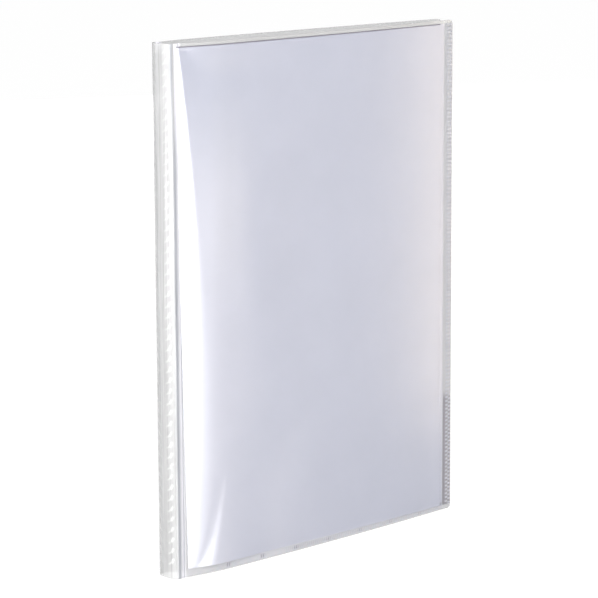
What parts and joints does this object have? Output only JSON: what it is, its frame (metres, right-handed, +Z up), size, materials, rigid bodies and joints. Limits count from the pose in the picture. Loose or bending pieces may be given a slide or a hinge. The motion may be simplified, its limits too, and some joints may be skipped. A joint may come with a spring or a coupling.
{
  "type": "pocket display book",
  "caption": "Clear A4 display book with a creased plastic cover, a film sleeve on the front and top-opening clear pockets welded to a rounded spine.",
  "frame": {"origin": "on the ground under the middle of the closed book's box, with the film sleeve counted", "axes": "+Z up along the spine, -X towards the spine, +X towards the fore-edge, -Y the way the front cover faces"},
  "size_m": [0.232, 0.0228, 0.31],
  "materials": {
    "cover_sheet": "clear glossy polypropylene sheet",
    "cover_film": "clear glossy film with ribbed weld seams",
    "pocket_film": "thin clear film, slightly milky in layers",
    "binding": "fused film margins, milky"
  },
  "bodies": {
    "spine": {"spine_panel": "cover_sheet", "binding": "binding"},
    "front": {"front_cover": "cover_sheet", "front_film": "cover_film"},
    "back": {"back_cover": "cover_sheet"},
    "pocket_01": {"pocket_01": "pocket_film"},
    "pocket_02": {"pocket_02": "pocket_film"},
    "pocket_03": {"pocket_03": "pocket_film"},
    "pocket_04": {"pocket_04": "pocket_film"},
    "pocket_05": {"pocket_05": "pocket_film"},
    "pocket_06": {"pocket_06": "pocket_film"},
    "pocket_07": {"pocket_07": "pocket_film"},
    "pocket_08": {"pocket_08": "pocket_film"},
    "pocket_09": {"pocket_09": "pocket_film"},
    "pocket_10": {"pocket_10": "pocket_film"},
    "pocket_11": {"pocket_11": "pocket_film"},
    "pocket_12": {"pocket_12": "pocket_film"},
    "pocket_13": {"pocket_13": "pocket_film"},
    "pocket_14": {"pocket_14": "pocket_film"},
    "pocket_15": {"pocket_15": "pocket_film"},
    "pocket_16": {"pocket_16": "pocket_film"},
    "pocket_17": {"pocket_17": "pocket_film"},
    "pocket_18": {"pocket_18": "pocket_film"},
    "pocket_19": {"pocket_19": "pocket_film"},
    "pocket_20": {"pocket_20": "pocket_film"}
  },
  "joints": [
    {"name": "front_cover_hinge", "type": "hinge", "parent": "spine", "child": "front", "pos_m": [-0.1122, -0.00721, 0.155], "axis": [0, 0, -1], "range_deg": [0, 180]},
    {"name": "back_cover_hinge", "type": "hinge", "parent": "spine", "child": "back", "pos_m": [-0.1122, 0.00919, 0.155], "axis": [0, 0, 1], "range_deg": [0, 180]},
    {"name": "pocket_01_turn", "type": "hinge", "parent": "spine", "child": "pocket_01", "pos_m": [-0.108, -0.00471, 0.155], "axis": [0, 0, -1], "range_deg": [0, 82.01]},
    {"name": "pocket_02_turn", "type": "hinge", "parent": "spine", "child": "pocket_02", "pos_m": [-0.108, -0.00411, 0.155], "axis": [0, 0, -1], "range_deg": [0, 73.38]},
    {"name": "pocket_03_turn", "type": "hinge", "parent": "spine", "child": "pocket_03", "pos_m": [-0.108, -0.00351, 0.155], "axis": [0, 0, -1], "range_deg": [0, 64.75]},
    {"name": "pocket_04_turn", "type": "hinge", "parent": "spine", "child": "pocket_04", "pos_m": [-0.108, -0.00291, 0.155], "axis": [0, 0, -1], "range_deg": [0, 56.12]},
    {"name": "pocket_05_turn", "type": "hinge", "parent": "spine", "child": "pocket_05", "pos_m": [-0.108, -0.00231, 0.155], "axis": [0, 0, -1], "range_deg": [0, 47.48]},
    {"name": "pocket_06_turn", "type": "hinge", "parent": "spine", "child": "pocket_06", "pos_m": [-0.108, -0.00171, 0.155], "axis": [0, 0, -1], "range_deg": [0, 38.85]},
    {"name": "pocket_07_turn", "type": "hinge", "parent": "spine", "child": "pocket_07", "pos_m": [-0.108, -0.00111, 0.155], "axis": [0, 0, -1], "range_deg": [0, 30.22]},
    {"name": "pocket_08_turn", "type": "hinge", "parent": "spine", "child": "pocket_08", "pos_m": [-0.108, -0.00051, 0.155], "axis": [0, 0, -1], "range_deg": [0, 21.59]},
    {"name": "pocket_09_turn", "type": "hinge", "parent": "spine", "child": "pocket_09", "pos_m": [-0.108, 0.00009, 0.155], "axis": [0, 0, -1], "range_deg": [0, 12.96]},
    {"name": "pocket_10_turn", "type": "hinge", "parent": "spine", "child": "pocket_10", "pos_m": [-0.108, 0.00069, 0.155], "axis": [0, 0, -1], "range_deg": [0, 4.33]},
    {"name": "pocket_11_turn", "type": "hinge", "parent": "spine", "child": "pocket_11", "pos_m": [-0.108, 0.00129, 0.155], "axis": [0, 0, 1], "range_deg": [0, 4.33]},
    {"name": "pocket_12_turn", "type": "hinge", "parent": "spine", "child": "pocket_12", "pos_m": [-0.108, 0.00189, 0.155], "axis": [0, 0, 1], "range_deg": [0, 12.96]},
    {"name": "pocket_13_turn", "type": "hinge", "parent": "spine", "child": "pocket_13", "pos_m": [-0.108, 0.00249, 0.155], "axis": [0, 0, 1], "range_deg": [0, 21.59]},
    {"name": "pocket_14_turn", "type": "hinge", "parent": "spine", "child": "pocket_14", "pos_m": [-0.108, 0.00309, 0.155], "axis": [0, 0, 1], "range_deg": [0, 30.22]},
    {"name": "pocket_15_turn", "type": "hinge", "parent": "spine", "child": "pocket_15", "pos_m": [-0.108, 0.00369, 0.155], "axis": [0, 0, 1], "range_deg": [0, 38.85]},
    {"name": "pocket_16_turn", "type": "hinge", "parent": "spine", "child": "pocket_16", "pos_m": [-0.108, 0.00429, 0.155], "axis": [0, 0, 1], "range_deg": [0, 47.48]},
    {"name": "pocket_17_turn", "type": "hinge", "parent": "spine", "child": "pocket_17", "pos_m": [-0.108, 0.00489, 0.155], "axis": [0, 0, 1], "range_deg": [0, 56.12]},
    {"name": "pocket_18_turn", "type": "hinge", "parent": "spine", "child": "pocket_18", "pos_m": [-0.108, 0.00549, 0.155], "axis": [0, 0, 1], "range_deg": [0, 64.75]},
    {"name": "pocket_19_turn", "type": "hinge", "parent": "spine", "child": "pocket_19", "pos_m": [-0.108, 0.00609, 0.155], "axis": [0, 0, 1], "range_deg": [0, 73.38]},
    {"name": "pocket_20_turn", "type": "hinge", "parent": "spine", "child": "pocket_20", "pos_m": [-0.108, 0.00669, 0.155], "axis": [0, 0, 1], "range_deg": [0, 82.01]}
  ],
  "couplings": [
    {"joint": "pocket_01_turn", "follows": "front_cover_hinge", "ratio": 0.45556},
    {"joint": "pocket_02_turn", "follows": "front_cover_hinge", "ratio": 0.4076},
    {"joint": "pocket_03_turn", "follows": "front_cover_hinge", "ratio": 0.35965},
    {"joint": "pocket_04_turn", "follows": "front_cover_hinge", "ratio": 0.3117},
    {"joint": "pocket_05_turn", "follows": "front_cover_hinge", "ratio": 0.26374},
    {"joint": "pocket_06_turn", "follows": "front_cover_hinge", "ratio": 0.21579},
    {"joint": "pocket_07_turn", "follows": "front_cover_hinge", "ratio": 0.16784},
    {"joint": "pocket_08_turn", "follows": "front_cover_hinge", "ratio": 0.11988},
    {"joint": "pocket_09_turn", "follows": "front_cover_hinge", "ratio": 0.07193},
    {"joint": "pocket_10_turn", "follows": "front_cover_hinge", "ratio": 0.023977},
    {"joint": "pocket_11_turn", "follows": "back_cover_hinge", "ratio": 0.023977},
    {"joint": "pocket_12_turn", "follows": "back_cover_hinge", "ratio": 0.07193},
    {"joint": "pocket_13_turn", "follows": "back_cover_hinge", "ratio": 0.11988},
    {"joint": "pocket_14_turn", "follows": "back_cover_hinge", "ratio": 0.16784},
    {"joint": "pocket_15_turn", "follows": "back_cover_hinge", "ratio": 0.21579},
    {"joint": "pocket_16_turn", "follows": "back_cover_hinge", "ratio": 0.26374},
    {"joint": "pocket_17_turn", "follows": "back_cover_hinge", "ratio": 0.3117},
    {"joint": "pocket_18_turn", "follows": "back_cover_hinge", "ratio": 0.35965},
    {"joint": "pocket_19_turn", "follows": "back_cover_hinge", "ratio": 0.4076},
    {"joint": "pocket_20_turn", "follows": "back_cover_hinge", "ratio": 0.45556}
  ]
}
